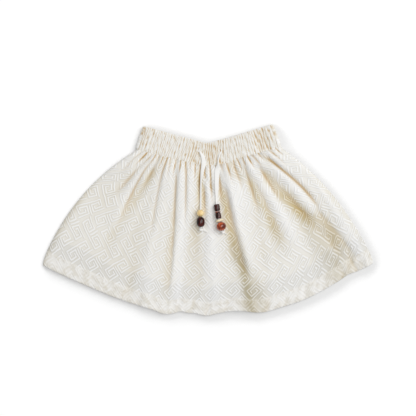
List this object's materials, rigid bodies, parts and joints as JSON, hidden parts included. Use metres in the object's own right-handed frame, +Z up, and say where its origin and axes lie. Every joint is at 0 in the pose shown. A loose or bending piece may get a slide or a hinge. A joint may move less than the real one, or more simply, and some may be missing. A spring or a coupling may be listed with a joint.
{
  "type": "embroidered skirt",
  "caption": "Child's gathered skirt of ivory cotton with a raised key pattern, an elastic waist and a drawstring with wooden beads, laid flat.",
  "frame": {"origin": "on the table, under the middle of the skirt's footprint as it lies", "axes": "+Z up, away from the table; +Y from the hem to the waist; +X to the right as the skirt is seen from above"},
  "size_m": [0.4644, 0.269, 0.0248],
  "materials": {
    "cotton": "matte figured double weave",
    "casing": "matte, shirred on elastic",
    "tape": "matte woven tape",
    "pale_wood": "satin",
    "dark_wood": "gloss",
    "red_wood": "gloss",
    "bone_wood": "satin"
  },
  "bodies": {
    "root": {"skirt_front": "cotton", "skirt_back": "cotton", "waistband_front": "casing", "waistband_back": "casing", "drawstring_left": "tape", "drawstring_right": "tape", "bead_left_round": "pale_wood", "bead_left_barrel": "dark_wood", "bead_right_tube_upper": "dark_wood", "bead_right_spacer": "red_wood", "bead_right_tube_lower": "dark_wood", "bead_right_disc": "bone_wood", "bead_right_round": "red_wood", "knot_left": "tape", "knot_right": "tape"}
  },
  "joints": []
}
